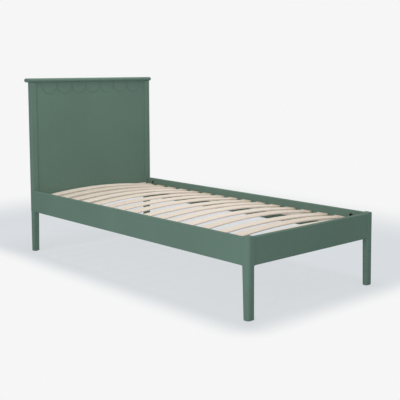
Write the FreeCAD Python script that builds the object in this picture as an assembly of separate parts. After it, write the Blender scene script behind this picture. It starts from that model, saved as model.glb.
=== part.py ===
import FreeCAD, Part
import math
import os

# A painted single bed frame: panelled headboard, two side rails, a foot rail on two foot legs,
# and bowed sprung slats in holders on two ledgers. Millimetres, +Z up, +X across, +Y to the headboard.
# The origin lies on the floor under the middle of the frame's box.

os.makedirs("parts", exist_ok=True)

# Whole frame
frame_width = 970.0
frame_length = 1990.0
headboard_height = 1130.0
rail_top = 400.0
fit_gap = 0.1
overrun = 1.0
edge_ease = 2.0
joint_ease = 1.5
parallel_share = 0.001

# Side rails and foot rail
rail_height = 136.0
rail_thickness = 22.0
foot_rail_thickness = 29.0
rail_edge_round = 3.0
side_rail_inset = 1.0
foot_rail_inset = 3.0

# Foot legs
leg_size = 48.0
leg_floor_depth = 38.0
leg_corner_round = 19.0
leg_side_round = 14.0
leg_floor_corner_round = 15.0
leg_floor_side_round = 13.0
leg_back_flat = 2.0
leg_step_share = 0.85
leg_rise = 4.5
leg_top_round = 5.0

# Headboard posts
post_width = 42.0
post_depth = 38.0
post_floor_depth = 30.0
post_corner_round = 6.0
post_inner_round = 4.5
post_leg_round = 8.0

# Headboard panel, its bottom rail and the routed scallops
panel_thickness = 15.0
panel_setback = 6.5
panel_tongue = 8.0
head_rail_height = 102.0
head_rail_thickness = 25.0
scallop_count = 7
scallop_pitch = 114.0
scallop_drop = 75.0
scallop_groove = 3.0
scallop_depth = 1.6

# Headboard cap
cap_thickness = 26.0
cap_nose_flat = 1.0
cap_corner_round = 16.0
cap_side_overhang = 19.0
cap_front_overhang = 4.0
cap_back_overhang = 22.0

# Sprung slats
slat_count = 16
slat_width = 68.0
slat_thickness = 7.5
slat_end_step = 115.6
slat_rise = 31.0
slat_crown_drop = 13.0
slat_edge_round = 2.0
slat_end_gap = 5.0
# How far each slat's crown sags below the set rise, from the head to the foot
slat_sags = (-2.5, -2.0, 0.0, -1.0, -2.0, 2.0, 1.0, 0.5, 5.0, 3.0, -2.0, 1.0, -0.5, 8.5, 3.0, 5.5)

# Slat holders
holder_reach = 16.0
holder_wall = 2.5
holder_floor = 4.0
holder_ease = 1.2
holder_peg_radius = 4.0
holder_peg_length = 10.0
holder_post_gap = 2.0
slat_play = 0.3

# Ledgers and their screws
ledger_width = 22.0
ledger_height = 32.0
ledger_end_gap = 20.0
ledger_ease = 1.5
screw_count = 8
screw_end_gap = 90.0
screw_length = 36.0
screw_radius = 2.0
screw_head_radius = 4.0
screw_drop = 4.0
recess_width = 1.1
recess_length = 4.4
recess_depth = 1.5

# Bed studs, half-moon washers, nuts and their access holes
stud_radius = 3.0
stud_embed = 30.0
stud_end = 3.0
stud_inset = 31.0
lower_stud_inset = 26.0
stud_bore_gap = 0.4
access_radius = 14.0
access_depth = 17.0
access_from_leg = 82.0
access_from_post = 57.0
washer_flat = 7.0
washer_height = 13.0
nut_width = 10.0
nut_height = 5.0
nut_sides = 6

# Dowels
dowel_radius = 5.0
dowel_length = 40.0
dowel_inset = 32.0
dowel_end_room = 0.5
head_dowel_inset = 16.0

# Floor glides and their nails
glide_radius = 12.0
glide_height = 3.0
glide_ease = 0.8
nail_radius = 1.3
nail_length = 16.0
nail_head_radius = 3.5
nail_head_height = 1.2

# Places that follow from the sizes above
half_width = frame_width / 2
foot_front = -(frame_length + cap_back_overhang) / 2
head_back = foot_front + frame_length
head_front = head_back - post_depth
leg_back = foot_front + leg_size
rail_bottom = rail_top - rail_height
rail_outer = half_width - side_rail_inset
rail_inner = rail_outer - rail_thickness
rail_middle = rail_outer - rail_thickness / 2
rail_foot_end = leg_back + fit_gap
rail_head_end = head_front - fit_gap
foot_rail_front = foot_front + foot_rail_inset
foot_rail_back = foot_rail_front + foot_rail_thickness
leg_inner = half_width - leg_size
leg_back_round = leg_size - leg_side_round - leg_back_flat
leg_floor_back_round = leg_floor_depth - leg_floor_side_round - leg_back_flat
leg_step_round = foot_rail_inset * leg_step_share
leg_top = rail_top + leg_rise
post_inner = half_width - post_width
cap_bottom = headboard_height - cap_thickness
panel_front = head_front + panel_setback
panel_back = panel_front + panel_thickness
head_rail_top = rail_bottom + head_rail_height
head_rail_front = (panel_front + panel_back - head_rail_thickness) / 2
scallop_radius = scallop_pitch / 2
scallop_line = cap_bottom - scallop_drop + scallop_radius

slat_half = rail_inner - slat_end_gap
slat_crown = rail_top - slat_crown_drop
slat_radius = (slat_half ** 2 + slat_rise ** 2) / (2 * slat_rise)
slat_centre = slat_crown - slat_radius
slat_end_bottom = slat_centre + math.sqrt((slat_radius - slat_thickness) ** 2 - slat_half ** 2)
holder_width = slat_width + 2 * (slat_play + holder_wall)
holder_outer = slat_half + slat_play + holder_wall
first_slat = head_front - holder_post_gap - holder_width / 2
last_slat = leg_back + holder_post_gap + holder_width / 2
slat_pitch = (first_slat - last_slat - slat_end_step) / (slat_count - 2)
slat_lines = [first_slat - slat_pitch * i for i in range(slat_count - 1)] + [last_slat]
slat_rises = [slat_rise - slat_sags[i % len(slat_sags)] for i in range(slat_count)]
slat_places = list(zip(slat_lines, slat_rises))
ledger_top = slat_end_bottom - slat_play - holder_floor
ledger_bottom = ledger_top - ledger_height
ledger_inner = rail_inner - ledger_width
ledger_foot = leg_back + ledger_end_gap
ledger_head = head_front - ledger_end_gap
screw_line = (ledger_bottom + ledger_top) / 2 - screw_drop
screw_step = (ledger_head - ledger_foot - 2 * screw_end_gap) / (screw_count - 1)
screw_places = [ledger_foot + screw_end_gap + screw_step * i for i in range(screw_count)]
stud_levels = (rail_top - stud_inset, rail_bottom + lower_stud_inset)
rail_dowel_levels = (rail_bottom + dowel_inset, rail_top - dowel_inset)
head_dowel_levels = (rail_bottom + head_dowel_inset, head_rail_top - panel_tongue - head_dowel_inset)
foot_rail_middle = (foot_rail_front + foot_rail_back) / 2
head_rail_middle = head_rail_front + head_rail_thickness / 2
post_middle = half_width - post_width / 2
dowel_half = dowel_length / 2
dowel_bore = dowel_radius + fit_gap
dowel_hole = dowel_half + dowel_end_room
leg_floor_middle = foot_front + leg_floor_depth / 2
post_floor_middle = head_back - post_floor_depth / 2

ALONG_X = FreeCAD.Vector(1, 0, 0)
ALONG_Y = FreeCAD.Vector(0, 1, 0)
ALONG_Z = FreeCAD.Vector(0, 0, 1)


def vec(x, y, z):
    return FreeCAD.Vector(x, y, z)


def block(x0, x1, y0, y1, z0, z1):
    return Part.makeBox(x1 - x0, y1 - y0, z1 - z0, vec(x0, y0, z0))


def rod(radius, start, direction, length):
    return Part.makeCylinder(radius, length, start, direction)


def mirrored(shape):
    """The same piece on the other side of the bed."""
    return shape.mirror(vec(0, 0, 0), ALONG_X)


def runs_along(edge, direction):
    if len(edge.Vertexes) != 2:
        return False
    span = edge.Vertexes[1].Point - edge.Vertexes[0].Point
    return span.Length > 0 and span.cross(direction).Length < span.Length * parallel_share


def edges_where(shape, test):
    """The edges of a shape whose middle point passes a test."""
    return [e for e in shape.Edges if test(e, e.CenterOfMass)]


def rounded(shape, radius, test):
    return shape.makeFillet(radius, edges_where(shape, test))


def near(a, b):
    return abs(a - b) < fit_gap


def rounded_outline(x0, x1, y0, y1, z, radii):
    """A closed rectangle at height z, whose round corners run from (x1, y0) by (x1, y1) to (x0, y0)."""
    corners = ((x1, y0, -1, 1), (x1, y1, -1, -1), (x0, y1, 1, -1), (x0, y0, 1, 1))
    arcs = []
    for i, (x, y, sx, sy) in enumerate(corners):
        radius = radii[i]
        bend = radius * (1 - math.sqrt(0.5))
        beside = vec(x + sx * radius, y, z)
        above = vec(x, y + sy * radius, z)
        middle = vec(x + sx * bend, y + sy * bend, z)
        ends = (beside, above) if i % 2 == 0 else (above, beside)
        arcs.append((ends[0], middle, ends[1]))
    edges = []
    for i, (start, middle, end) in enumerate(arcs):
        edges.append(Part.Arc(start, middle, end).toShape())
        edges.append(Part.LineSegment(end, arcs[(i + 1) % len(arcs)][0]).toShape())
    return Part.Wire(edges)


def tapered_foot(x0, x1, floor_span, top_span, floor_radii, top_radii):
    """The free part of a leg, from its glide up to the rails."""
    low = rounded_outline(x0, x1, floor_span[0], floor_span[1], glide_height, floor_radii)
    high = rounded_outline(x0, x1, top_span[0], top_span[1], rail_bottom, top_radii)
    return Part.makeLoft([low, high], True, True)


def nail_hole(x, y):
    return rod(nail_radius + fit_gap, vec(x, y, glide_height - overrun), ALONG_Z, nail_length + overrun)


def stud_holes(face, direction):
    """Blind holes for the two studs of the left corner, in a leg or post."""
    start = face - direction * overrun
    along = vec(0, direction, 0)
    depth = stud_embed + overrun
    return [rod(stud_radius + fit_gap, vec(-rail_middle, start, z), along, depth) for z in stud_levels]


def dowel_holes(x, y, levels, direction):
    along = vec(direction, 0, 0)
    start = x - direction * overrun
    return [rod(dowel_bore, vec(start, y, z), along, dowel_hole + overrun) for z in levels]


def foot_leg():
    """The left foot leg: a square block between the rails, all round and tapered below them."""
    outer, inner = -half_width, -leg_inner
    head = block(outer, inner, foot_front, leg_back, rail_bottom, leg_top)
    head = rounded(head, leg_corner_round, lambda e, c: near(c.x, outer) and near(c.y, foot_front))
    head = rounded(head, leg_step_round, lambda e, c: near(c.x, inner) and near(c.y, foot_front))
    head = rounded(head, joint_ease, lambda e, c: near(c.x, outer) and near(c.y, leg_back))
    head = rounded(head, leg_top_round, lambda e, c: near(c.z, leg_top))
    foot = tapered_foot(
        outer, inner, (foot_front, foot_front + leg_floor_depth), (foot_front, leg_back),
        (leg_floor_side_round, leg_floor_back_round, leg_floor_side_round, leg_floor_corner_round),
        (leg_side_round, leg_back_round, leg_side_round, leg_corner_round),
    )
    holes = stud_holes(leg_back, -1) + dowel_holes(inner, foot_rail_middle, rail_dowel_levels, -1)
    holes.append(nail_hole(outer + leg_size / 2, leg_floor_middle))
    return head.fuse(foot).removeSplitter().cut(holes)


def headboard_post():
    """The left headboard post, grooved for the panel and tapered below the rails."""
    outer, inner = -half_width, -post_inner
    head = block(outer, inner, head_front, head_back, rail_bottom, cap_bottom)
    head = rounded(head, post_corner_round, lambda e, c: near(c.x, outer) and runs_along(e, ALONG_Z))
    head = rounded(head, post_inner_round, lambda e, c: near(c.x, inner) and runs_along(e, ALONG_Z))
    foot = tapered_foot(
        outer, inner, (head_back - post_floor_depth, head_back), (head_front, head_back),
        (post_leg_round,) * 4, (post_leg_round,) * 4,
    )
    groove = block(
        inner - panel_tongue - fit_gap, inner + overrun, panel_front - fit_gap, panel_back + fit_gap,
        head_rail_top - panel_tongue - fit_gap, cap_bottom + overrun,
    )
    holes = stud_holes(head_front, 1) + dowel_holes(inner, head_rail_middle, head_dowel_levels, -1)
    holes.append(rod(dowel_bore, vec(-post_middle, head_rail_middle, cap_bottom - dowel_hole),
                     ALONG_Z, dowel_hole + overrun))
    holes.append(nail_hole(outer + post_width / 2, post_floor_middle))
    return head.fuse(foot).removeSplitter().cut([groove] + holes)


def scallop(middle):
    """One routed U: two short uprights under the cap and a half circle between them."""
    rings = []
    for offset in (scallop_groove / 2, -scallop_groove / 2):
        reach = scallop_radius + offset
        left, right = middle - reach, middle + reach
        top = cap_bottom + panel_tongue + overrun
        y = panel_front - overrun
        edges = [
            Part.LineSegment(vec(left, y, top), vec(left, y, scallop_line)).toShape(),
            Part.Arc(vec(left, y, scallop_line), vec(middle, y, scallop_line - reach),
                     vec(right, y, scallop_line)).toShape(),
            Part.LineSegment(vec(right, y, scallop_line), vec(right, y, top)).toShape(),
            Part.LineSegment(vec(right, y, top), vec(left, y, top)).toShape(),
        ]
        face = Part.Face(Part.Wire(edges))
        rings.append(face.extrude(vec(0, scallop_depth + overrun, 0)))
    return rings[0].cut(rings[1])


def headboard_panel():
    reach = post_inner + panel_tongue
    low, high = head_rail_top - panel_tongue, cap_bottom + panel_tongue
    panel = block(-reach, reach, panel_front, panel_back, low, high)
    first = -scallop_pitch * (scallop_count - 1) / 2
    return panel.cut([scallop(first + scallop_pitch * i) for i in range(scallop_count)])


def headboard_bottom_rail():
    reach = post_inner - fit_gap
    back = head_rail_front + head_rail_thickness
    rail = block(-reach, reach, head_rail_front, back, rail_bottom, head_rail_top)
    rail = rounded(rail, edge_ease, lambda e, c: runs_along(e, ALONG_X))
    groove = block(
        -reach - overrun, reach + overrun, panel_front - fit_gap, panel_back + fit_gap,
        head_rail_top - panel_tongue, head_rail_top + overrun,
    )
    holes = dowel_holes(-reach, head_rail_middle, head_dowel_levels, 1)
    holes += dowel_holes(reach, head_rail_middle, head_dowel_levels, -1)
    return rail.cut([groove] + holes)


def headboard_cap():
    """The cap: a board with a full round nose on all sides, grooved below for the panel."""
    reach = half_width + cap_side_overhang
    cap = block(-reach, reach, head_front - cap_front_overhang, head_back + cap_back_overhang,
                cap_bottom, headboard_height)
    cap = rounded(cap, cap_corner_round, lambda e, c: runs_along(e, ALONG_Z))
    cap = rounded(cap, (cap_thickness - cap_nose_flat) / 2,
                  lambda e, c: near(c.z, cap_bottom) or near(c.z, headboard_height))
    groove_reach = post_inner + panel_tongue + fit_gap
    groove = block(
        -groove_reach, groove_reach, panel_front - fit_gap, panel_back + fit_gap,
        cap_bottom - overrun, cap_bottom + panel_tongue + fit_gap,
    )
    holes = [
        rod(dowel_bore, vec(x, head_rail_middle, cap_bottom - overrun), ALONG_Z, dowel_half + overrun)
        for x in (-post_middle, post_middle)
    ]
    return cap.cut([groove] + holes)


def side_rail():
    """The left side rail, with stud bores from both ends into round access holes."""
    rail = block(-rail_outer, -rail_inner, rail_foot_end, rail_head_end, rail_bottom, rail_top)
    rail = rounded(rail, rail_edge_round, lambda e, c: runs_along(e, ALONG_Y))
    rail = rounded(rail, joint_ease, lambda e, c: near(c.y, rail_foot_end) or near(c.y, rail_head_end))
    cuts = []
    ends = ((rail_foot_end, 1, access_from_leg), (rail_head_end, -1, access_from_post))
    for end, direction, access in ends:
        along = vec(0, direction, 0)
        for z in stud_levels:
            mouth = vec(-rail_inner + overrun, end + direction * access, z)
            start = vec(-rail_middle, end - direction * overrun, z)
            cuts.append(rod(access_radius, mouth, -ALONG_X, access_depth + overrun))
            cuts.append(rod(stud_radius + stud_bore_gap, start, along, access + overrun))
    depth = screw_length - ledger_width + fit_gap
    for y in screw_places:
        start = vec(-rail_inner + overrun, y, screw_line)
        cuts.append(rod(screw_radius + fit_gap, start, -ALONG_X, depth + overrun))
    return rail.cut(cuts)


def foot_rail():
    reach = leg_inner - fit_gap
    rail = block(-reach, reach, foot_rail_front, foot_rail_back, rail_bottom, rail_top)
    rail = rounded(rail, rail_edge_round, lambda e, c: runs_along(e, ALONG_X))
    rail = rounded(rail, joint_ease, lambda e, c: near(abs(c.x), reach))
    holes = dowel_holes(-reach, foot_rail_middle, rail_dowel_levels, 1)
    holes += dowel_holes(reach, foot_rail_middle, rail_dowel_levels, -1)
    return rail.cut(holes)


def bow(rise):
    """Radius and centre height of a slat's top, from its rise; all slats' ends lie level."""
    radius = (slat_half ** 2 + rise ** 2) / (2 * rise)
    return radius, slat_end_bottom - math.sqrt((radius - slat_thickness) ** 2 - slat_half ** 2)


def slat_bow(middle, rise, grow):
    """The room of a bowed slat between two arcs, larger all round by grow."""
    radius, centre = bow(rise)
    outer, inner = radius + grow, radius - slat_thickness - grow
    reach = slat_half + grow
    front = middle - slat_width / 2 - grow
    rim = []
    for radius in (outer, inner):
        level = centre + math.sqrt(radius ** 2 - reach ** 2)
        crown = vec(0, front, centre + radius)
        rim.append((vec(-reach, front, level), crown, vec(reach, front, level)))
    top, bottom = rim
    wire = Part.Wire([
        Part.Arc(*top).toShape(),
        Part.LineSegment(top[2], bottom[2]).toShape(),
        Part.Arc(bottom[2], bottom[1], bottom[0]).toShape(),
        Part.LineSegment(bottom[0], top[0]).toShape(),
    ])
    return Part.Face(wire).extrude(vec(0, slat_width + 2 * grow, 0))


def slat(middle, rise):
    """A slat: a strip's rounded section turned about the centre line of the bow."""
    radius, level = bow(rise)
    low, high = radius - slat_thickness, radius
    front, back = middle - slat_width / 2, middle + slat_width / 2
    section = Part.Face(rounded_outline(low, high, front, back, level, (slat_edge_round,) * 4))
    centre = vec(0, middle, level)
    section.rotate(centre, -ALONG_Y, math.degrees(math.acos(slat_half / radius)))
    return section.revolve(centre, -ALONG_Y, 2 * math.degrees(math.asin(slat_half / radius)))


def slat_holder(middle, rise):
    """A left holder: a pocket that takes a slat's end, with a peg into the ledger."""
    mouth = -holder_outer + holder_reach
    top = slat_centre + math.sqrt(slat_radius ** 2 - mouth ** 2) + slat_play + holder_wall
    front, back = middle - holder_width / 2, middle + holder_width / 2
    shell = block(-holder_outer, mouth, front, back, ledger_top, top)
    shell = rounded(shell, holder_ease, lambda e, c: c.z > ledger_top + fit_gap)
    seat = (-rail_inner - ledger_inner) / 2
    peg = rod(holder_peg_radius, vec(seat, middle, ledger_top - holder_peg_length), ALONG_Z,
              holder_peg_length + holder_floor / 2)
    return shell.cut(slat_bow(middle, rise, slat_play)).fuse(peg).removeSplitter()


def slat_ledger():
    """The left ledger, drilled for the holders' pegs and its own screws."""
    ledger = block(-rail_inner, -ledger_inner, ledger_foot, ledger_head, ledger_bottom, ledger_top)
    ledger = rounded(ledger, ledger_ease, lambda e, c: near(c.x, -ledger_inner))
    seat = (-rail_inner - ledger_inner) / 2
    cuts = []
    depth = holder_peg_length + fit_gap
    for y, _ in slat_places:
        start = vec(seat, y, ledger_top - depth)
        cuts.append(rod(holder_peg_radius + fit_gap, start, ALONG_Z, depth + overrun))
    for y in screw_places:
        cuts.append(screw_body(y, fit_gap))
    return ledger.cut(cuts)


def screw_body(y, grow):
    """A countersunk screw on the left side, larger all round by grow."""
    head = screw_head_radius - screw_radius
    tip = -ledger_inner - screw_length
    shank = rod(screw_radius + grow, vec(tip, y, screw_line), ALONG_X, screw_length)
    cone = Part.makeCone(screw_radius + grow, screw_head_radius + grow, head,
                         vec(-ledger_inner - head, y, screw_line), ALONG_X)
    return shank.fuse(cone).removeSplitter()


def ledger_screw(y):
    """A screw with a cross recess in its head."""
    start = -ledger_inner - recess_depth
    end = -ledger_inner + overrun
    cuts = []
    for wide, tall in ((recess_width, recess_length), (recess_length, recess_width)):
        low, high = screw_line - tall / 2, screw_line + tall / 2
        cuts.append(block(start, end, y - wide / 2, y + wide / 2, low, high))
    return screw_body(y, 0).cut(cuts)


def corner_hardware(face, direction, from_end, z):
    """Stud, half-moon washer and nut of one left joint, from the face of its leg or post."""
    along = vec(0, direction, 0)
    access = face + direction * (fit_gap + from_end)
    seat = access - direction * washer_flat
    stud_tip = seat + direction * (nut_height + stud_end)
    stud_start = face - direction * stud_embed
    stud = rod(stud_radius, vec(-rail_middle, stud_start, z), along, abs(stud_tip - stud_start))
    floor = -rail_inner - access_depth
    disc = rod(access_radius - fit_gap, vec(floor + fit_gap, access, z), ALONG_X, washer_height)
    reach = access_radius * 2
    side = sorted((access - direction * reach, seat))
    keep = block(floor, floor + washer_height * 2, side[0], side[1], z - reach, z + reach)
    bore_start = vec(-rail_middle, access - direction * reach, z)
    bore = rod(stud_radius + fit_gap, bore_start, along, reach * 2)
    washer = disc.common(keep).cut(bore)
    corner = nut_width / 2 / math.cos(math.pi / nut_sides)
    points = []
    for i in range(nut_sides + 1):
        turn = 2 * math.pi * i / nut_sides
        points.append(vec(-rail_middle + corner * math.sin(turn), seat, z + corner * math.cos(turn)))
    nut = Part.Face(Part.makePolygon(points)).extrude(along * nut_height).cut(bore)
    return stud, washer, nut


def dowels(x, y, levels):
    return [rod(dowel_radius, vec(x - dowel_half, y, z), ALONG_X, dowel_length) for z in levels]


def floor_glide(x, y):
    """A round glide with a sunk seat for its nail's head."""
    disc = rod(glide_radius, vec(x, y, 0), ALONG_Z, glide_height)
    disc = rounded(disc, glide_ease, lambda e, c: near(c.z, 0))
    seat = rod(nail_head_radius + fit_gap, vec(x, y, -overrun), ALONG_Z, nail_head_height * 2 + overrun)
    hole = rod(nail_radius + fit_gap, vec(x, y, 0), ALONG_Z, glide_height + overrun)
    return disc.cut([seat, hole])


def glide_nail(x, y):
    head = rod(nail_head_radius, vec(x, y, nail_head_height), ALONG_Z, nail_head_height)
    length = glide_height + nail_length - nail_head_height
    shank = rod(nail_radius, vec(x, y, nail_head_height), ALONG_Z, length)
    return head.fuse(shank).removeSplitter()


def export(name, shape):
    shape.exportStep("parts/" + name + ".step")
    print(name, len(shape.Solids), "solids, valid", shape.isValid(), "volume", round(shape.Volume))


def export_group(name, shapes):
    export(name, Part.makeCompound(shapes))


def export_pair(name, shape):
    export(name + "_left", shape)
    export(name + "_right", mirrored(shape))


def both_sides(shapes):
    return shapes + [mirrored(s) for s in shapes]


export_pair("headboard_post", headboard_post())
export("headboard_panel", headboard_panel())
export("headboard_bottom_rail", headboard_bottom_rail())
export("headboard_cap", headboard_cap())
export_pair("side_rail", side_rail())
export("foot_rail", foot_rail())
export_pair("foot_leg", foot_leg())
export_pair("slat_ledger", slat_ledger())

for number, place in enumerate(slat_places, 1):
    export("slat_%02d" % number, slat(*place))

holders = [slat_holder(*place) for place in slat_places]
export_group("slat_holders_left", holders)
export_group("slat_holders_right", [mirrored(h) for h in holders])
export_group("ledger_screws", both_sides([ledger_screw(y) for y in screw_places]))

corners = [(leg_back, 1, access_from_leg, z) for z in stud_levels]
corners += [(head_front, -1, access_from_post, z) for z in stud_levels]
studs, washers, nuts = zip(*[corner_hardware(*corner) for corner in corners])
export_group("bed_studs", both_sides(list(studs)))
export_group("half_moon_washers", both_sides(list(washers)))
export_group("bed_nuts", both_sides(list(nuts)))

export_group("foot_rail_dowels", both_sides(dowels(-leg_inner, foot_rail_middle, rail_dowel_levels)))
export_group("headboard_rail_dowels", both_sides(dowels(-post_inner, head_rail_middle, head_dowel_levels)))
cap_dowel = rod(dowel_radius, vec(-post_middle, head_rail_middle, cap_bottom - dowel_half), ALONG_Z,
                dowel_length - dowel_end_room)
export_group("cap_dowels", both_sides([cap_dowel]))

feet = [(-half_width + leg_size / 2, leg_floor_middle), (-half_width + post_width / 2, post_floor_middle)]
export_group("floor_glides", both_sides([floor_glide(x, y) for x, y in feet]))
export_group("glide_nails", both_sides([glide_nail(x, y) for x, y in feet]))
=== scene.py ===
import math

import bmesh
import bpy
from mathutils import Matrix, Vector


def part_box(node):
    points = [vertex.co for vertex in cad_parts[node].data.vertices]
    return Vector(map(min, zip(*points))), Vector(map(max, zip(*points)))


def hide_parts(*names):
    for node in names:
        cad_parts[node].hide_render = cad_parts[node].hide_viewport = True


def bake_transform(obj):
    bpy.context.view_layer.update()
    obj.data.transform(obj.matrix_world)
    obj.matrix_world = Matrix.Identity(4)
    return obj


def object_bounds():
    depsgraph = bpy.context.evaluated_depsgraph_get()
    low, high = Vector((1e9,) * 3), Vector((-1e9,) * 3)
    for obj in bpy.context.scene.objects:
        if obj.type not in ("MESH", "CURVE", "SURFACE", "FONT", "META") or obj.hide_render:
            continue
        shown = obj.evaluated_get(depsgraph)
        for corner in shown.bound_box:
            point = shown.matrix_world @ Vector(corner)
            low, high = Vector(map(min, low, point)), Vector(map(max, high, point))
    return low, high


bl_info = {
    "name": "Single bed frame",
    "version": (1, 0, 0),
    "blender": (4, 5, 0),
    "location": "View3D > Sidebar > Bed",
    "description": "Finishes a painted bed frame, bends its slats and sets it on a pale studio floor",
    "category": "Object",
}

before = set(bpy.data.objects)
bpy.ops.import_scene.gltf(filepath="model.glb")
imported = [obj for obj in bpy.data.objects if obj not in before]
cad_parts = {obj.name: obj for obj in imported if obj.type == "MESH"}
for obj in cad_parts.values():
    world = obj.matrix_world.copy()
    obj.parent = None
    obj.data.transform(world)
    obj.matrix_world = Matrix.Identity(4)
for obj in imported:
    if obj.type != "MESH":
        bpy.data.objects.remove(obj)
CAD_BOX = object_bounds()

SLATS = sorted(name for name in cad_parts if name.removeprefix("slat_").isdigit())
ALONG_X, ALONG_Y, ALONG_Z = range(3)
LEFT, RIGHT = -1, 1
WHITE = (1.0, 1.0, 1.0)
# Sockets of a Mix node for colours, which share their names with its other sockets
MIX_SHARE, MIX_FIRST, MIX_SECOND, MIX_RESULT = 0, 6, 7, 2
# Rounds in which the radius of a slat's bow settles
BOW_ROUNDS = 8
# Rows of a matrix that turns and moves
MATRIX_ROWS = 4


class BedPaint(bpy.types.PropertyGroup):
    """The satin paint on the timber."""

    colour: bpy.props.FloatVectorProperty(
        name="Paint", description="Main colour of the paint", subtype="COLOR", size=3,
        min=0, max=1, default=(0.130, 0.204, 0.165))
    deep_colour: bpy.props.FloatVectorProperty(
        name="Deep paint", description="Colour where the coat is thicker", subtype="COLOR", size=3,
        min=0, max=1, default=(0.121, 0.191, 0.154))
    roughness: bpy.props.FloatProperty(
        name="Roughness", description="Middle roughness of the satin coat", subtype="FACTOR",
        min=0, max=1, default=0.60)
    gloss: bpy.props.FloatProperty(
        name="Gloss", description="Strength of the coat's reflection", subtype="FACTOR",
        min=0, max=1, default=0.02)
    brush_depth: bpy.props.FloatProperty(
        name="Brush depth", description="Height of the brush marks along the grain", unit="LENGTH",
        min=0, default=0.00003)
    peel_depth: bpy.props.FloatProperty(
        name="Peel depth", description="Height of the fine dimples in the coat", unit="LENGTH",
        min=0, default=0.00003)
    # Painted shade: the walls of the drilled access holes get this dark colour in place of the shadow
    # inside them.
    bore_shade_colour: bpy.props.FloatVectorProperty(
        name="Bore", description="Raw, dusty wall of a drilled access hole", subtype="COLOR", size=3,
        min=0, max=1, default=(0.075, 0.085, 0.070))
    # Depth from a face past which the painted shade of a bore starts.
    bore_shade_margin: bpy.props.FloatProperty(
        name="Bore margin", description="Depth from a face where a bore's wall turns raw", unit="LENGTH",
        min=0, default=0.003)


class SlatWood(bpy.types.PropertyGroup):
    """The bent plywood of the slats."""

    thickness: bpy.props.FloatProperty(
        name="Thickness", description="Thickness of a slat", unit="LENGTH", min=0.001, default=0.0075)
    edge_round: bpy.props.FloatProperty(
        name="Edge round", description="Radius of a slat's long edges", unit="LENGTH",
        min=0, default=0.0020)
    plies: bpy.props.IntProperty(
        name="Plies", description="Layers of veneer in a slat", min=3, default=7)
    rings: bpy.props.IntProperty(
        name="Rings", description="Divisions of half a slat along its bow", min=8, default=48)
    corner_steps: bpy.props.IntProperty(
        name="Corner steps", description="Divisions of each rounded edge", min=2, default=5)
    pale: bpy.props.FloatVectorProperty(
        name="Pale veneer", description="Lighter face veneer", subtype="COLOR", size=3,
        min=0, max=1, default=(0.775, 0.695, 0.595))
    warm: bpy.props.FloatVectorProperty(
        name="Warm veneer", description="Darker, pinkish face veneer", subtype="COLOR", size=3,
        min=0, max=1, default=(0.715, 0.612, 0.502))
    fleck: bpy.props.FloatVectorProperty(
        name="Fleck", description="Short dark flecks in the veneer", subtype="COLOR", size=3,
        min=0, max=1, default=(0.40, 0.26, 0.17))
    edge_pale: bpy.props.FloatVectorProperty(
        name="Pale ply", description="Long-grain plies on a slat's edge", subtype="COLOR", size=3,
        min=0, max=1, default=(0.93, 0.78, 0.66))
    edge_dark: bpy.props.FloatVectorProperty(
        name="Dark ply", description="End-grain plies on a slat's edge", subtype="COLOR", size=3,
        min=0, max=1, default=(0.86, 0.70, 0.58))


class BareTimber(bpy.types.PropertyGroup):
    """The unpainted timber of the headboard's bottom rail and the ledgers."""

    pale: bpy.props.FloatVectorProperty(
        name="Early wood", description="Pale wood between the growth lines", subtype="COLOR", size=3,
        min=0, max=1, default=(0.88, 0.79, 0.68))
    dark: bpy.props.FloatVectorProperty(
        name="Late wood", description="Darker growth lines", subtype="COLOR", size=3,
        min=0, max=1, default=(0.76, 0.66, 0.54))


class SmallParts(bpy.types.PropertyGroup):
    """Holders, fasteners, dowels and glides."""

    nylon: bpy.props.FloatVectorProperty(
        name="Nylon", description="Moulded slat holders", subtype="COLOR", size=3,
        min=0, max=1, default=(0.66, 0.55, 0.44))
    zinc: bpy.props.FloatVectorProperty(
        name="Zinc", description="Plated studs, nuts, screws and nails", subtype="COLOR", size=3,
        min=0, max=1, default=(0.62, 0.62, 0.60))
    zinc_tint: bpy.props.FloatVectorProperty(
        name="Zinc tint", description="Yellowish cast in the plating", subtype="COLOR", size=3,
        min=0, max=1, default=(0.60, 0.56, 0.44))
    black_steel: bpy.props.FloatVectorProperty(
        name="Black steel", description="Blackened half-moon washers", subtype="COLOR", size=3,
        min=0, max=1, default=(0.045, 0.045, 0.047))
    beech: bpy.props.FloatVectorProperty(
        name="Beech", description="Dowels, lighter grain", subtype="COLOR", size=3,
        min=0, max=1, default=(0.60, 0.42, 0.27))
    beech_dark: bpy.props.FloatVectorProperty(
        name="Dark beech", description="Dowels, darker grain", subtype="COLOR", size=3,
        min=0, max=1, default=(0.44, 0.28, 0.17))
    glide: bpy.props.FloatVectorProperty(
        name="Glide", description="Plastic glides under the legs", subtype="COLOR", size=3,
        min=0, max=1, default=(0.030, 0.028, 0.026))


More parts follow.
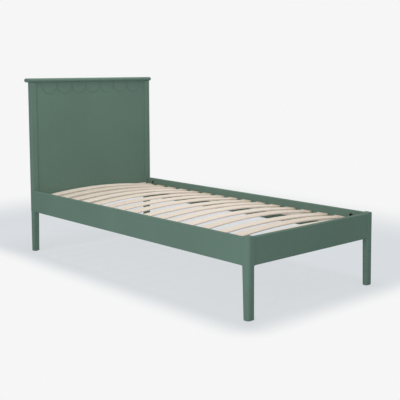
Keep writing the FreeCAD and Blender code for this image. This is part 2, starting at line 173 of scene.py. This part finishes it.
class StudioStage(bpy.types.PropertyGroup):
    """Floor, light and camera."""

    floor: bpy.props.FloatVectorProperty(
        name="Floor", description="Colour of the floor near the bed", subtype="COLOR", size=3,
        min=0, max=1, default=(0.71, 0.76, 0.81))
    # Partly the floor's own grey and partly painted shade: near the bed this grey glows in place of the
    # bed's shade on the floor.
    floor_tone_and_shade: bpy.props.FloatVectorProperty(
        name="Near tone", description="Steady tone of the floor near the bed, under its shadow",
        subtype="COLOR", size=3, min=0, max=1, default=(0.72, 0.749, 0.773))
    backdrop: bpy.props.FloatVectorProperty(
        name="Backdrop", description="Colour behind and far round the bed", subtype="COLOR", size=3,
        min=0, max=1, default=(0.922, 0.922, 0.922))
    floor_size: bpy.props.FloatProperty(
        name="Floor size", description="Side of the floor", unit="LENGTH", min=4, default=40)
    # Share of the grey glow, the floor's own tone with painted shade, laid over the lit floor near the
    # bed.
    tone_and_shade_share: bpy.props.FloatProperty(
        name="Tone share", description="How much of the steady tone shows in the floor near the bed",
        subtype="FACTOR", min=0, max=1, default=0.8)
    near_fade: bpy.props.FloatProperty(
        name="Near fade", description="Distance to the left and front where only the backdrop is left",
        unit="LENGTH", min=0.01, default=0.24)
    far_floor: bpy.props.FloatProperty(
        name="Far floor", description="Distance to the right and back where the floor starts to fade",
        unit="LENGTH", min=0, default=0.9)
    far_fade: bpy.props.FloatProperty(
        name="Far fade", description="Distance from there to where only the backdrop is left",
        unit="LENGTH", min=0.01, default=1.3)
    ambient: bpy.props.FloatProperty(
        name="Ambient", description="Strength of the light from all round", min=0, default=0.57)
    key_place: bpy.props.FloatVectorProperty(
        name="Key place", description="Middle of the soft light on the left",
        subtype="TRANSLATION", size=3, unit="LENGTH", default=(-5.0, -2.3, 1.55))
    key_size: bpy.props.FloatProperty(
        name="Key size", description="Side of the soft light on the left", unit="LENGTH",
        min=0.1, default=3.9)
    key_power: bpy.props.FloatProperty(
        name="Key power", description="Power of the soft light on the left", unit="POWER",
        min=0, default=132)
    top_place: bpy.props.FloatVectorProperty(
        name="Top place", description="Middle of the soft light overhead",
        subtype="TRANSLATION", size=3, unit="LENGTH", default=(0.1, 0.58, 2.65))
    top_size: bpy.props.FloatProperty(
        name="Top size", description="Side of the soft light overhead", unit="LENGTH",
        min=0.1, default=0.75)
    top_power: bpy.props.FloatProperty(
        name="Top power", description="Power of the soft light overhead", unit="POWER",
        min=0, default=25)
    light_aim: bpy.props.FloatVectorProperty(
        name="Light aim", description="Point that the lights face",
        subtype="TRANSLATION", size=3, unit="LENGTH", default=(0.0, 0.0, 0.4))
    camera_place: bpy.props.FloatVectorProperty(
        name="Camera place", description="Where the camera stands",
        subtype="TRANSLATION", size=3, unit="LENGTH", default=(-3.0462, -3.5142, 1.1809))
    heading: bpy.props.FloatProperty(
        name="Heading", description="Turn of the camera from +Y towards +X", subtype="ANGLE",
        default=math.radians(41.30))
    pitch: bpy.props.FloatProperty(
        name="Pitch", description="Tilt of the camera above the horizon", subtype="ANGLE",
        default=math.radians(-5.85))
    roll: bpy.props.FloatProperty(
        name="Roll", description="Lean of the camera", subtype="ANGLE", default=math.radians(-0.27))
    lens: bpy.props.FloatProperty(
        name="Lens", description="Focal length on a 36 mm sensor", unit="CAMERA", min=1, default=70.53)
    shift: bpy.props.FloatVectorProperty(
        name="Shift", description="Camera shift across and up, as shares of the picture", size=2,
        default=(0.025, -0.125))


class Wire:
    """A socket in a node tree, on which Python's sums add Math nodes."""

    def __init__(self, tree, socket):
        self.tree = tree
        self.socket = socket

    def math(self, operation, *values):
        return self.tree.node("ShaderNodeMath", {"operation": operation}, dict(enumerate(values)))

    def __add__(self, other):
        return self.math("ADD", self, other)

    def __sub__(self, other):
        return self.math("SUBTRACT", self, other)

    def __rsub__(self, other):
        return self.math("SUBTRACT", other, self)

    def __mul__(self, other):
        return self.math("MULTIPLY", self, other)

    def __truediv__(self, other):
        return self.math("DIVIDE", self, other)

    def __rtruediv__(self, other):
        return self.math("DIVIDE", other, self)

    __radd__ = __add__
    __rmul__ = __mul__

    def __abs__(self):
        return self.math("ABSOLUTE", self)

    def at_least(self, low):
        return self.math("MAXIMUM", self, low)

    def at_most(self, high):
        return self.math("MINIMUM", self, high)

    def root(self):
        return self.math("SQRT", self)

    def floor(self):
        return self.math("FLOOR", self)

    def fraction(self):
        return self.math("FRACT", self)

    def swing(self, width, middle=0.5):
        """How far a noise lies from its middle, as part of a width."""
        return (self - middle) * width

    def rise(self, low, high):
        """0 below low, 1 above high, smooth between them."""
        sockets = {"Value": self, "From Min": low, "From Max": high}
        return self.tree.node("ShaderNodeMapRange", {"interpolation_type": "SMOOTHSTEP"}, sockets)

    def parts(self):
        """The X, Y and Z of a vector."""
        split = self.tree.node("ShaderNodeSeparateXYZ", {}, {0: self})
        return [Wire(self.tree, output) for output in split.socket.node.outputs]


class Finish:
    """A node tree under construction."""

    def __init__(self, owner):
        owner.use_nodes = True
        self.owner = owner
        self.nodes = owner.node_tree.nodes
        self.links = owner.node_tree.links
        self.nodes.clear()

    @classmethod
    def new(cls, name):
        return cls(bpy.data.materials.new(name))

    def node(self, kind, settings, sockets, output=0):
        """Adds a node: its settings are set first, then each socket gets a value or a link."""
        made = self.nodes.new(kind)
        for key, value in settings.items():
            setattr(made, key, value)
        for key, value in sockets.items():
            if isinstance(value, Wire):
                self.links.new(value.socket, made.inputs[key])
            else:
                made.inputs[key].default_value = value
        return Wire(self, made.outputs[output])

    def mix(self, first, second, share):
        """A colour between two others."""
        sockets = {MIX_SHARE: share, MIX_FIRST: opaque(first), MIX_SECOND: opaque(second)}
        return self.node("ShaderNodeMix", {"data_type": "RGBA"}, sockets, MIX_RESULT)

    def join(self, x, y, z):
        """A vector from its X, Y and Z."""
        return self.node("ShaderNodeCombineXYZ", {}, {0: x, 1: y, 2: z})

    def noise(self, vector, scale=1.0, detail=2.0, roughness=0.5):
        """A cloudy pattern between 0 and 1."""
        sockets = {"Vector": vector, "Scale": scale, "Detail": detail, "Roughness": roughness}
        return self.node("ShaderNodeTexNoise", {}, sockets)

    def drawn(self, vector, axis, along, across, **pattern):
        """Noise drawn out along one axis, from its scales along and across it."""
        scales = [across] * 3
        scales[axis] = along
        stretched = self.node(
            "ShaderNodeVectorMath", {"operation": "MULTIPLY"}, {0: vector, 1: tuple(scales)})
        return self.noise(stretched, **pattern)

    def place(self):
        """The point on the piece, in metres."""
        return self.node("ShaderNodeTexCoord", {}, {}, "Object")

    def bump(self, height):
        """A normal from a height in metres."""
        return self.node("ShaderNodeBump", {}, {"Strength": 1.0, "Distance": 1.0, "Height": height})

    def surface(self, **sockets):
        """Ends the tree in a Principled shader."""
        named = {}
        for key, value in sockets.items():
            named[key.replace("_", " ").title().replace("Ior", "IOR")] = value
        shader = self.node("ShaderNodeBsdfPrincipled", {}, named)
        self.output("ShaderNodeOutputMaterial", shader)
        return self.owner

    def output(self, kind, shader):
        """Ends the tree in a shader."""
        end = self.nodes.new(kind)
        self.links.new(shader.socket, end.inputs["Surface"])


def opaque(colour):
    """A colour with full alpha; a wire stays as it is."""
    return colour if isinstance(colour, Wire) else (*colour, 1.0)


def paint_finish(name, axis, drilled=None):
    """Satin paint, brushed along a piece's own axis; a drilled piece gets painted shade on the walls of
    its bores.
    """
    cloud_share, grain_share, stroke_share = 0.66, 0.22, 0.12
    stroke_gloss, cloud_gloss = 0.10, 0.12
    paint = bpy.context.scene.bed_paint
    made = Finish.new(name)
    place = made.place()
    strokes = made.drawn(place, axis, along=3.0, across=260.0, detail=3.0)
    grain = made.drawn(place, axis, along=1.4, across=55.0, detail=4.0, roughness=0.6)
    cloud = made.noise(place, scale=3.1)
    peel = made.noise(place, scale=620.0, detail=1.0)
    depth = cloud * cloud_share + grain * grain_share + strokes * stroke_share
    colour = made.mix(paint.colour, paint.deep_colour, depth.rise(low=0.34, high=0.66))
    roughness = paint.roughness + strokes.swing(stroke_gloss) + cloud.swing(cloud_gloss)
    # Painted shade: the walls of the access holes are darkened in place of the shadow inside them.
    if drilled:
        colour = made.mix(colour, paint.bore_shade_colour, within(place, drilled, paint.bore_shade_margin))
    height = strokes * paint.brush_depth + grain * paint.brush_depth + peel * paint.peel_depth
    return made.surface(
        base_color=colour, roughness=roughness, specular_ior_level=paint.gloss, normal=made.bump(height))


def within(place, name, margin):
    """1 inside a piece's box, away from its faces: only the walls of its holes lie there."""
    share = 1.0
    for axis, low, high in zip(place.parts(), *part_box(name)):
        share = share * (axis - low).rise(margin / 2, margin) * (high - axis).rise(margin / 2, margin)
    return share


def slat_finish():
    """Birch plywood: long-grain face veneers, flecks, and layered edges."""
    streak_share, figure_share, slat_share = 0.45, 0.35, 0.30
    fleck_share, glue_share = 0.35, 0.6
    pore_least, pore_share = 0.5, 0.6
    pore_scale, pore_rise = 700.0, 900.0
    ply_middle, fade_start, fade_end = 0.5, 0.25, 0.6
    face_roughness, streak_gloss, edge_gloss = 0.56, 0.16, 0.12
    streak_height, fleck_depth, pore_height = 0.00008, 0.00004, 0.00008
    wood = bpy.context.scene.slat_wood
    made = Finish.new("slat_birch")
    strip = made.node("ShaderNodeAttribute", {"attribute_name": "strip"}, {}, "Vector")
    number = made.node("ShaderNodeAttribute", {"attribute_name": "slat_number"}, {}, "Fac")
    length, across, depth = strip.parts()

    def veneer_noise(along, over, step, **pattern):
        """Noise along and over the face, at another place in its pattern for each slat."""
        return made.noise(made.join(length * along, across * over, number * step), **pattern)

    shade = made.node("ShaderNodeTexWhiteNoise", {"noise_dimensions": "1D"}, {"W": number})
    streaks = veneer_noise(along=2.2, over=150.0, step=7.3, detail=5.0, roughness=0.6)
    figure = veneer_noise(along=1.1, over=26.0, step=3.7)
    flecks = veneer_noise(along=95.0, over=1100.0, step=5.1, detail=1.0).rise(low=0.66, high=0.76)
    warmth = streaks * streak_share + figure * figure_share + shade * slat_share
    face = made.mix(wood.pale, wood.warm, warmth.rise(low=0.32, high=0.82))
    face = made.mix(face, wood.fleck, flecks * fleck_share)

    # The plies show on the edges: every second one is end grain, with glue lines between them
    ply = depth * (wood.plies / wood.thickness)
    crossed = (ply.floor() / 2).fraction() * 2
    glue = abs(ply.fraction() - ply_middle).rise(low=0.40, high=0.49)
    pores = made.noise(made.join(length * pore_scale, across * pore_scale, depth * pore_rise))
    edge = made.mix(wood.edge_pale, wood.edge_dark, crossed * (pores * pore_share + pore_least))
    edge = made.mix(edge, wood.edge_dark, glue * glue_share)

    veneer = wood.thickness / wood.plies
    fade = {"low": veneer * fade_start, "high": veneer * fade_end}
    inside = depth.rise(**fade) * (wood.thickness - depth).rise(**fade)
    colour = made.mix(face, edge, inside)
    roughness = face_roughness + streaks.swing(streak_gloss) + inside * edge_gloss
    height = streaks * streak_height - flecks * fleck_depth + pores * inside * pore_height
    return made.surface(base_color=colour, roughness=roughness, normal=made.bump(height))


def timber_finish(name, axis):
    """Planed softwood with wandering growth lines along a piece's own axis."""
    growth_lines = 26.0
    line_share, fibre_share = 0.6, 0.3
    line_roughness, fibre_gloss = 0.62, 0.14
    fibre_height, line_depth = 0.00008, 0.00004
    timber = bpy.context.scene.bare_timber
    made = Finish.new(name)
    place = made.place()
    wander = made.drawn(place, axis, along=1.5, across=9.0)
    lines = (wander * growth_lines).fraction().rise(low=0.25, high=1.0)
    fibres = made.drawn(place, axis, along=9.0, across=900.0, detail=3.0)
    colour = made.mix(timber.pale, timber.dark, lines * line_share + fibres * fibre_share)
    roughness = line_roughness + fibres * fibre_gloss
    height = fibres * fibre_height - lines * line_depth
    return made.surface(base_color=colour, roughness=roughness, normal=made.bump(height))


def nylon_finish():
    """Moulded nylon with a fine spark texture."""
    cloud_shade = 0.86
    middle_roughness, spark_gloss, spark_height = 0.42, 0.2, 0.00004
    nylon = Vector(bpy.context.scene.small_parts.nylon)
    made = Finish.new("holder_nylon")
    place = made.place()
    cloud = made.noise(place, scale=40.0)
    spark = made.noise(place, scale=1500.0)
    colour = made.mix(nylon, nylon * cloud_shade, cloud.rise(low=0.3, high=0.7))
    roughness = middle_roughness + spark.swing(spark_gloss)
    return made.surface(base_color=colour, roughness=roughness, normal=made.bump(spark * spark_height))


def zinc_finish():
    """Zinc plating with drawn lines and a faint yellow cast."""
    least_roughness, line_gloss, cast_gloss = 0.30, 0.16, 0.06
    line_height = 0.00002
    parts = bpy.context.scene.small_parts
    made = Finish.new("zinc_steel")
    place = made.place()
    cast = made.noise(place, scale=55.0, detail=3.0)
    lines = made.drawn(place, ALONG_Y, along=120.0, across=1400.0)
    colour = made.mix(parts.zinc, parts.zinc_tint, cast.rise(low=0.45, high=0.75))
    roughness = least_roughness + lines * line_gloss + cast * cast_gloss
    normal = made.bump(lines * line_height)
    return made.surface(base_color=colour, metallic=1.0, roughness=roughness, normal=normal)


def black_finish():
    """Blackened steel, worn a little paler in spots."""
    worn_tone, wear_share = 2.2, 0.7
    middle_roughness, grain_gloss, wear_gloss = 0.52, 0.2, 0.1
    grain_height = 0.00003
    steel = Vector(bpy.context.scene.small_parts.black_steel)
    made = Finish.new("black_steel")
    place = made.place()
    wear = made.noise(place, scale=260.0, detail=3.0).rise(low=0.55, high=0.8)
    grain = made.noise(place, scale=1300.0)
    colour = made.mix(steel, steel * worn_tone, wear * wear_share)
    roughness = middle_roughness + grain.swing(grain_gloss) - wear * wear_gloss
    normal = made.bump(grain * grain_height)
    return made.surface(base_color=colour, metallic=0.6, roughness=roughness, normal=normal)


def dowel_finish(name, axis):
    """Bare beech with the grain along the dowel."""
    fleck_share = 0.5
    least_roughness, streak_gloss = 0.6, 0.12
    streak_height, fleck_depth = 0.00006, 0.00004
    parts = bpy.context.scene.small_parts
    made = Finish.new(name)
    place = made.place()
    streaks = made.drawn(place, axis, along=8.0, across=420.0, detail=4.0)
    flecks = made.drawn(place, axis, along=160.0, across=1500.0, detail=1.0).rise(low=0.62, high=0.74)
    colour = made.mix(parts.beech, parts.beech_dark, streaks.rise(low=0.3, high=0.75))
    colour = made.mix(colour, parts.beech_dark, flecks * fleck_share)
    roughness = least_roughness + streaks * streak_gloss
    height = streaks * streak_height - flecks * fleck_depth
    return made.surface(base_color=colour, roughness=roughness, normal=made.bump(height))


def glide_finish():
    """Dark moulded plastic, scuffed by the floor."""
    scuffed_tone, scuff_share = 3.0, 0.6
    middle_roughness, scuff_gloss, grain_gloss = 0.48, 0.25, 0.1
    grain_height = 0.00005
    glide = Vector(bpy.context.scene.small_parts.glide)
    made = Finish.new("glide_plastic")
    place = made.place()
    grain = made.noise(place, scale=900.0)
    scuff = made.drawn(place, ALONG_Y, along=500.0, across=60.0, detail=3.0).rise(low=0.55, high=0.75)
    colour = made.mix(glide, glide * scuffed_tone, scuff * scuff_share)
    roughness = middle_roughness + scuff * scuff_gloss + grain.swing(grain_gloss)
    return made.surface(base_color=colour, roughness=roughness, normal=made.bump(grain * grain_height))


def dress(material, *names):
    """Gives CAD nodes a finish."""
    for name in names:
        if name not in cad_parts:
            raise RuntimeError("the bed has no piece named " + name)
        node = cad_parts[name]
        node.data.materials.clear()
        node.data.materials.append(material)


def add_object(name, data):
    """Puts a new object with this data into the scene."""
    made = bpy.data.objects.new(name, data)
    bpy.context.scene.collection.objects.link(made)
    return made


def bow_radius(half_length, height, thickness):
    """Radius of a slat's top from its half length and its height from lowest end to crown."""
    ratio = 1.0
    for _ in range(BOW_ROUNDS):
        turn = 2 * math.atan((height - thickness) * ratio / half_length)
        radius = half_length / math.sin(turn)
        ratio = radius / (radius - thickness)
    return radius


def slat_section(width, thickness, edge_round, steps):
    """Points (across, depth) round a slat's section, depth from the underside."""
    half = width / 2 - edge_round
    low, high = edge_round, thickness - edge_round
    corners = ((half, high), (-half, high), (-half, low), (half, low))
    points = []
    for quarter, (across, depth) in enumerate(corners):
        for step in range(steps + 1):
            turn = (quarter + step / steps) * math.pi / 2
            points.append((across + edge_round * math.cos(turn), depth + edge_round * math.sin(turn)))
    return points


def skin_rings(made, rings):
    """Joins rings of points into a smooth bar with flat, sharp-edged ends."""
    count = len(rings[0])
    for first, second in zip(rings, rings[1:]):
        for j in range(count):
            k = (j + 1) % count
            made.faces.new((first[j], first[k], second[k], second[j])).smooth = True
    for ring in (rings[0], rings[-1]):
        made.faces.new(ring)
        for j in range(count):
            made.edges.get((ring[j], ring[(j + 1) % count])).smooth = False
    bmesh.ops.recalc_face_normals(made, faces=made.faces)


def half_slat(name, side, number, wood):
    """Half of a bowed slat, from its crown to one end, and the top of its crown."""
    low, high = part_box(name)
    middle = (low.y + high.y) / 2
    radius = bow_radius(high.x, high.z - low.z, wood.thickness)
    centre = high.z - radius
    reach = math.asin(high.x / radius)
    section = slat_section(high.y - low.y, wood.thickness, wood.edge_round, wood.corner_steps)
    made = bmesh.new()
    strip = made.verts.layers.float_vector.new("strip")
    tag = made.verts.layers.float.new("slat_number")
    rings = []
    for i in range(wood.rings + 1):
        turn = reach * i / wood.rings
        ring = []
        for across, depth in section:
            arm = radius - wood.thickness + depth
            place = (side * arm * math.sin(turn), middle + across, centre + arm * math.cos(turn))
            vert = made.verts.new(place)
            vert[strip] = (side * radius * turn, across, depth)
            vert[tag] = number
            ring.append(vert)
        rings.append(ring)
    skin_rings(made, rings)
    mesh = bpy.data.meshes.new(name + ("_left" if side == LEFT else "_right"))
    made.to_mesh(mesh)
    made.free()
    return add_object(mesh.name, mesh), Vector((0, middle, high.z))


class BEDFRAME_OT_headboard(bpy.types.Operator):
    """Paints the headboard's posts, panel and cap, and leaves its bottom rail bare"""

    bl_idname = "bedframe.headboard"
    bl_label = "Paint headboard"

    def execute(self, context):
        upright = paint_finish("paint_upright", ALONG_Z)
        dress(upright, "headboard_post_left", "headboard_post_right", "headboard_panel")
        dress(paint_finish("paint_headboard_cap", ALONG_X), "headboard_cap")
        dress(timber_finish("timber_across", ALONG_X), "headboard_bottom_rail")
        return {"FINISHED"}


class BEDFRAME_OT_rails(bpy.types.Operator):
    """Paints the side rails, the foot rail and the foot legs, and leaves the ledgers bare"""

    bl_idname = "bedframe.rails"
    bl_label = "Paint rails and legs"

    def execute(self, context):
        dress(timber_finish("timber_lengthways", ALONG_Y), "slat_ledger_left", "slat_ledger_right")
        for rail in ("side_rail_left", "side_rail_right"):
            dress(paint_finish("paint_" + rail, ALONG_Y, drilled=rail), rail)
        dress(paint_finish("paint_foot_rail", ALONG_X), "foot_rail")
        dress(paint_finish("paint_leg", ALONG_Z), "foot_leg_left", "foot_leg_right")
        return {"FINISHED"}


class BEDFRAME_OT_slats(bpy.types.Operator):
    """Builds the bowed slats, which bend between their holders and their crowns"""

    bl_idname = "bedframe.slats"
    bl_label = "Build slats"

    def execute(self, context):
        if not SLATS:
            raise RuntimeError("the bed has no slats")
        wood = context.scene.slat_wood
        finish = slat_finish()
        for number, name in enumerate(SLATS, 1):
            for side in (LEFT, RIGHT):
                piece, crown = half_slat(name, side, number, wood)
                piece.data.materials.append(finish)
                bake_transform(piece)
                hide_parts(name)
        return {"FINISHED"}


class BEDFRAME_OT_holders(bpy.types.Operator):
    """Gives the slat holders their moulded nylon"""

    bl_idname = "bedframe.holders"
    bl_label = "Finish slat holders"

    def execute(self, context):
        dress(nylon_finish(), "slat_holders_left", "slat_holders_right")
        return {"FINISHED"}


class BEDFRAME_OT_fasteners(bpy.types.Operator):
    """Plates the studs, nuts, screws and nails, blackens the washers and leaves the dowels bare"""

    bl_idname = "bedframe.fasteners"
    bl_label = "Finish fasteners and dowels"

    def execute(self, context):
        dress(zinc_finish(), "bed_studs", "bed_nuts", "ledger_screws", "glide_nails")
        dress(black_finish(), "half_moon_washers")
        dress(dowel_finish("beech_across", ALONG_X), "foot_rail_dowels", "headboard_rail_dowels")
        dress(dowel_finish("beech_upright", ALONG_Z), "cap_dowels")
        return {"FINISHED"}


class BEDFRAME_OT_glides(bpy.types.Operator):
    """Gives the floor glides their dark plastic"""

    bl_idname = "bedframe.glides"
    bl_label = "Finish glides"

    def execute(self, context):
        dress(glide_finish(), "floor_glides")
        return {"FINISHED"}


class BEDFRAME_OT_stage(bpy.types.Operator):
    """Sets the floor, the backdrop, the soft lights and the camera"""

    bl_idname = "bedframe.stage"
    bl_label = "Set stage"

    def execute(self, context):
        stage = context.scene.studio_stage
        lay_floor(stage)
        light_world(stage)
        hang_light("key_light", stage.key_place, stage.key_size, stage.key_power, stage.light_aim)
        hang_light("top_light", stage.top_place, stage.top_size, stage.top_power, stage.light_aim)
        stand_camera(stage)
        context.scene.view_settings.view_transform = "Standard"
        return {"FINISHED"}


def seen(made):
    """1 for a ray that shows the backdrop itself: from the camera, a gloss or a clear piece."""
    path = made.node("ShaderNodeLightPath", {}, {}, "Is Camera Ray")
    outputs = path.socket.node.outputs
    total = path + Wire(made, outputs["Is Glossy Ray"]) + Wire(made, outputs["Is Transmission Ray"])
    return total.at_most(1.0)


def lay_floor(stage):
    """A pale floor that keeps part of the bed's shadow, glows grey near the bed (the floor's own grey
    with painted shade round and under the bed), fades into the backdrop and is clear from below.
    """
    cloud_shade = 0.98
    half = stage.floor_size / 2
    mesh = bpy.data.meshes.new("studio_floor")
    corners = [(-half, -half, 0), (half, -half, 0), (half, half, 0), (-half, half, 0)]
    mesh.from_pydata(corners, [], [(0, 1, 2, 3)])
    floor = add_object("studio_floor", mesh)
    made = Finish.new("studio_floor")
    x, y, _ = made.place().parts()
    low, high = CAD_BOX
    far = high + Vector((stage.far_floor, stage.far_floor, 0))
    across = ((low.x - x) / stage.near_fade).at_least((x - far.x) / stage.far_fade).at_least(0.0)
    lengthways = ((low.y - y) / stage.near_fade).at_least((y - far.y) / stage.far_fade).at_least(0.0)
    fade = (across * across + lengthways * lengthways).root().rise(low=0.0, high=1.0)
    # Near the bed the floor glows grey for camera, gloss and clear rays: partly the floor's own grey,
    # partly painted shade round and under the bed, over most of the real shadow.
    share = (stage.tone_and_shade_share + fade * (1 - stage.tone_and_shade_share)) * seen(made)
    cloud = made.noise(made.place(), scale=0.7)
    floor_colour = Vector(stage.floor)
    colour = made.mix(floor_colour, floor_colour * cloud_shade, cloud)
    dull = {"Base Color": colour, "Roughness": 1.0, "Specular IOR Level": 0.0}
    matte = made.node("ShaderNodeBsdfPrincipled", {}, dull)
    tone = made.mix(stage.floor_tone_and_shade, stage.backdrop, fade)
    glow = made.node("ShaderNodeEmission", {}, {"Color": tone, "Strength": 1.0})
    mixed = made.node("ShaderNodeMixShader", {}, {0: share, 1: matte, 2: glow})
    below = made.node("ShaderNodeNewGeometry", {}, {}, "Backfacing")
    clear = made.node("ShaderNodeBsdfTransparent", {}, {})
    sided = made.node("ShaderNodeMixShader", {}, {0: below, 1: mixed, 2: clear})
    made.output("ShaderNodeOutputMaterial", sided)
    mesh.materials.append(made.owner)


def light_world(stage):
    """Even light from all round, with the backdrop's colour where it is seen."""
    world = bpy.data.worlds.new("studio_world")
    bpy.context.scene.world = world
    made = Finish(world)
    soft = made.node("ShaderNodeBackground", {}, {"Color": opaque(WHITE), "Strength": stage.ambient})
    plain = made.node("ShaderNodeBackground", {}, {"Color": opaque(stage.backdrop), "Strength": 1.0})
    mixed = made.node("ShaderNodeMixShader", {}, {0: seen(made), 1: soft, 2: plain})
    made.output("ShaderNodeOutputWorld", mixed)


def hang_light(name, place, size, power, aim):
    """A square soft light that faces a point."""
    data = bpy.data.lights.new(name, "AREA")
    data.size = size
    data.energy = power
    light = add_object(name, data)
    light.location = place
    light.rotation_mode = "QUATERNION"
    light.rotation_quaternion = (Vector(aim) - Vector(place)).to_track_quat("-Z", "Y")


def stand_camera(stage):
    """The camera at the photograph's place, turned, tilted and leant as it was."""
    data = bpy.data.cameras.new("photo_camera")
    data.lens = stage.lens
    data.shift_x, data.shift_y = stage.shift
    turn = Matrix.Rotation(-stage.heading, MATRIX_ROWS, "Z")
    turn = turn @ Matrix.Rotation(math.pi / 2 + stage.pitch, MATRIX_ROWS, "X")
    turn = turn @ Matrix.Rotation(stage.roll, MATRIX_ROWS, "Z")
    camera = add_object("photo_camera", data)
    camera.matrix_world = Matrix.Translation(stage.camera_place) @ turn
    bpy.context.scene.camera = camera


class BEDFRAME_PT_build(bpy.types.Panel):
    """Lists the steps that dress the bed"""

    bl_idname = "BEDFRAME_PT_build"
    bl_label = "Bed frame"
    bl_space_type = "VIEW_3D"
    bl_region_type = "UI"
    bl_category = "Bed"

    def draw(self, context):
        for step in STEPS:
            self.layout.operator(step.bl_idname)


STEPS = (
    BEDFRAME_OT_headboard, BEDFRAME_OT_rails, BEDFRAME_OT_slats, BEDFRAME_OT_holders,
    BEDFRAME_OT_fasteners, BEDFRAME_OT_glides, BEDFRAME_OT_stage,
)
GROUPS = {
    "bed_paint": BedPaint, "slat_wood": SlatWood, "bare_timber": BareTimber, "small_parts": SmallParts,
    "studio_stage": StudioStage,
}


def register():
    """Adds the property groups, the operators and the panel."""
    for made in (*GROUPS.values(), *STEPS, BEDFRAME_PT_build):
        bpy.utils.register_class(made)
    for name, group in GROUPS.items():
        setattr(bpy.types.Scene, name, bpy.props.PointerProperty(type=group))


def unregister():
    """Takes them away again."""
    for name in GROUPS:
        delattr(bpy.types.Scene, name)
    for made in (BEDFRAME_PT_build, *reversed(STEPS), *reversed(list(GROUPS.values()))):
        bpy.utils.unregister_class(made)


def main():
    """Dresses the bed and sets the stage."""
    register()
    bpy.ops.bedframe.headboard()
    bpy.ops.bedframe.rails()
    bpy.ops.bedframe.slats()
    bpy.ops.bedframe.holders()
    bpy.ops.bedframe.fasteners()
    bpy.ops.bedframe.glides()
    bpy.ops.bedframe.stage()


if __name__ == "__main__":
    main()
